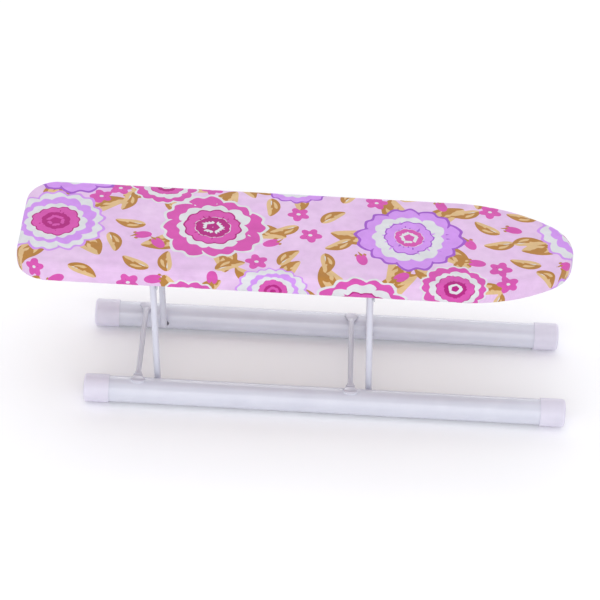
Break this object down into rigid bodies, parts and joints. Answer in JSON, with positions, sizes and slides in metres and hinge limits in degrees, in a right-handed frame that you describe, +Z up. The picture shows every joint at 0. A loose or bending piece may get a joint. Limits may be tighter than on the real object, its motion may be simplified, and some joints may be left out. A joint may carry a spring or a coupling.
{
  "type": "tabletop ironing board",
  "caption": "Folding tabletop ironing board: padded board with a rounded nose and a printed cover, on wire legs hinged in a base of parallel tubes.",
  "frame": {"origin": "on the ground, below the middle of the object's box", "axes": "+X along the board to its rounded nose, +Z up, +Y to the rear tube"},
  "size_m": [0.505, 0.138, 0.1599],
  "materials": {
    "painted_steel": "semi-gloss white-grey powder coat",
    "cap_plastic": "satin moulded polyethylene",
    "wood_core": "raw pressed fibreboard",
    "foam": "open-cell foam pad",
    "cover_cotton": "printed plain-weave cotton",
    "elastic": "flat braided elastic",
    "zinc_steel": "bright zinc plate"
  },
  "bodies": {
    "base": {"front_tube": "painted_steel", "rear_tube": "painted_steel", "cap_front_left": "cap_plastic", "cap_front_right": "cap_plastic", "cap_rear_left": "cap_plastic", "cap_rear_right": "cap_plastic", "cross_bar_left": "painted_steel", "cross_bar_right": "painted_steel"},
    "left_leg": {"left_leg": "painted_steel"},
    "right_leg": {"right_leg": "painted_steel"},
    "board": {"board_core": "wood_core", "foam_pad": "foam", "cover": "cover_cotton", "hem_elastic": "elastic", "stop_plate_left": "zinc_steel", "stop_plate_right": "zinc_steel", "clip_left_front": "zinc_steel", "clip_left_rear": "zinc_steel", "clip_right_front": "zinc_steel", "clip_right_rear": "zinc_steel", "clip_screws_left": "zinc_steel", "clip_screws_right": "zinc_steel"}
  },
  "joints": [
    {"name": "fold", "type": "hinge", "parent": "base", "child": "left_leg", "pos_m": [-0.125, 0, 0.01305], "axis": [0, 1, 0], "range_deg": [0, 85]},
    {"name": "board_level", "type": "hinge", "parent": "left_leg", "child": "board", "pos_m": [-0.13131, 0, 0.1377], "axis": [0, 1, 0], "range_deg": [-85, 0]},
    {"name": "right_leg_fold", "type": "hinge", "parent": "base", "child": "right_leg", "pos_m": [0.071, 0, 0.01305], "axis": [0, 1, 0], "range_deg": [0, 85]}
  ],
  "couplings": [
    {"joint": "board_level", "follows": "fold", "ratio": -1},
    {"joint": "right_leg_fold", "follows": "fold", "ratio": 1}
  ]
}
